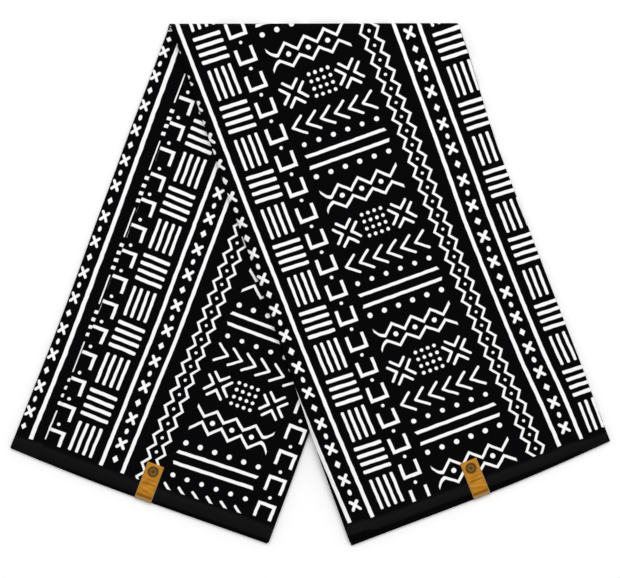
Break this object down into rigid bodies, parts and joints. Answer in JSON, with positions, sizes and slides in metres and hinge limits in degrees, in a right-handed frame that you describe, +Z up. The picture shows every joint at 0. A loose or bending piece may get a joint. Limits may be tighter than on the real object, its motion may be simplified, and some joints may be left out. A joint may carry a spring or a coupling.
{
  "type": "folded wax print fabric",
  "caption": "Length of black and white wax print cotton, folded flat into a long pack and once more into a spread V, with a foil label at each foot, for display or sewing.",
  "frame": {"origin": "centre of the footprint's bounding box, on the surface the cloth rests on", "axes": "+Z up, +Y towards the crease, +X towards the right leg"},
  "size_m": [0.6712, 0.5843, 0.0163],
  "materials": {
    "printed_cotton": "plain woven cotton, printed in black and white",
    "gold_foil": "satin gold foil on paper"
  },
  "bodies": {
    "root": {"cloth": "printed_cotton", "label_left": "gold_foil", "label_right": "gold_foil"}
  },
  "joints": []
}
